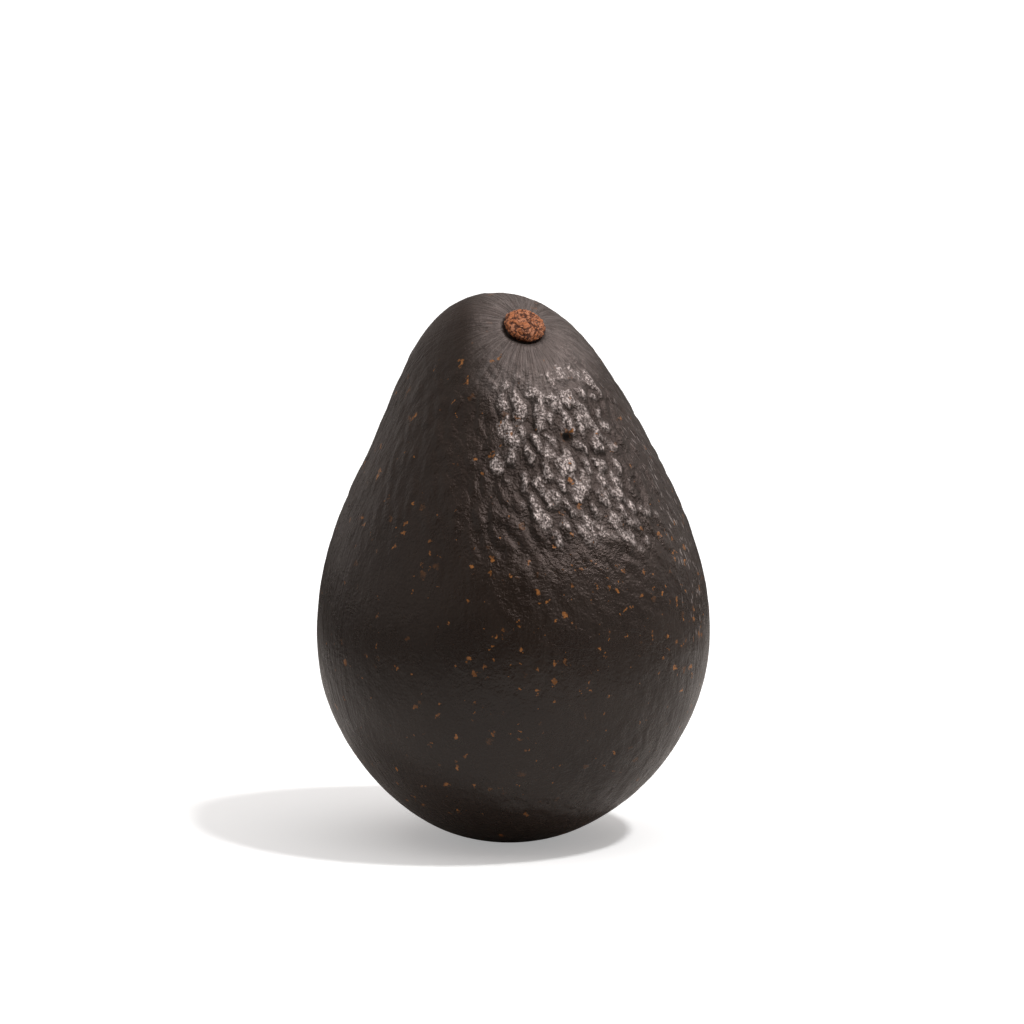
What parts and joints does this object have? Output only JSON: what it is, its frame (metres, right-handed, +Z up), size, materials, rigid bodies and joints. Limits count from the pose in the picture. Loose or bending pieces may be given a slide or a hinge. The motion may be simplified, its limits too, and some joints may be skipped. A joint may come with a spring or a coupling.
{
  "type": "avocado",
  "caption": "Whole ripe avocado with dark pebbled skin, standing upright on its blossom end, with the dry stem button still in its pit.",
  "frame": {"origin": "middle of the small flat spot on the blossom end, where the fruit rests", "axes": "+Z up the fruit's length to the stem end, -Y the side that the picture shows, with the stem button on it, +X to that side's right"},
  "size_m": [0.072, 0.0701, 0.0998],
  "materials": {
    "skin": "tough pebbled fruit skin, brown-black with a waxy satin sheen and small rusty flecks",
    "stem": "dry corky stalk end, orange-brown, cracked and matte"
  },
  "bodies": {
    "root": {"fruit": "skin", "stem_button": "stem"}
  },
  "joints": []
}
